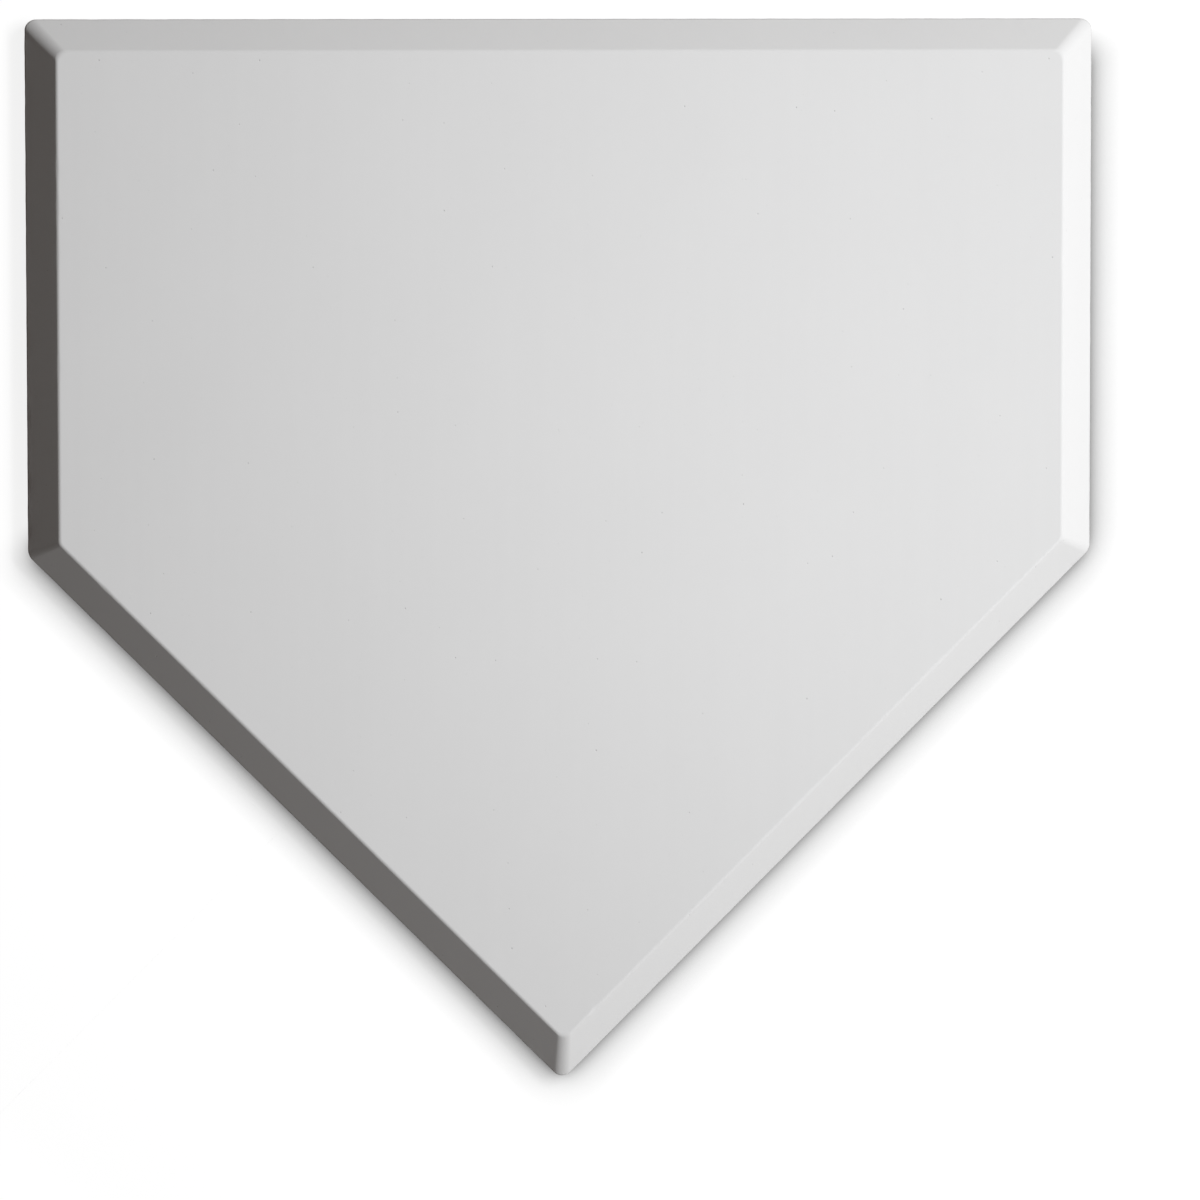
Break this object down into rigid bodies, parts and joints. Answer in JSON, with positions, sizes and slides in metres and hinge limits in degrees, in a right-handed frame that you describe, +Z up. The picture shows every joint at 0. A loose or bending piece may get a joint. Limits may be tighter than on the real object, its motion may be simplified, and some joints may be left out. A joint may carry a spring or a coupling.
{
  "type": "home plate",
  "caption": "Five-sided white rubber home plate with a bevelled top edge and a waffle underside: flat rim, long ribs and lower cross ribs that bed into the ground.",
  "frame": {"origin": "middle of the plate's box, on the plane of the rim's foot, where the plate stands on the ground", "axes": "+Z up through the top face, +Y towards the straight front edge, the tip at -Y, +X to the right seen from above"},
  "size_m": [0.4318, 0.43, 0.0191],
  "materials": {
    "white_rubber": "matte, moulded"
  },
  "bodies": {
    "root": {"face_slab": "white_rubber", "underside_rim": "white_rubber", "long_rib_1": "white_rubber", "long_rib_2": "white_rubber", "long_rib_3": "white_rubber", "long_rib_4": "white_rubber", "long_rib_5": "white_rubber", "long_rib_6": "white_rubber", "long_rib_7": "white_rubber", "long_rib_8": "white_rubber", "long_rib_9": "white_rubber", "cross_rib_1": "white_rubber", "cross_rib_2": "white_rubber", "cross_rib_3": "white_rubber", "cross_rib_4": "white_rubber", "cross_rib_5": "white_rubber", "cross_rib_6": "white_rubber", "cross_rib_7": "white_rubber", "cross_rib_8": "white_rubber", "cross_rib_9": "white_rubber"}
  },
  "joints": []
}
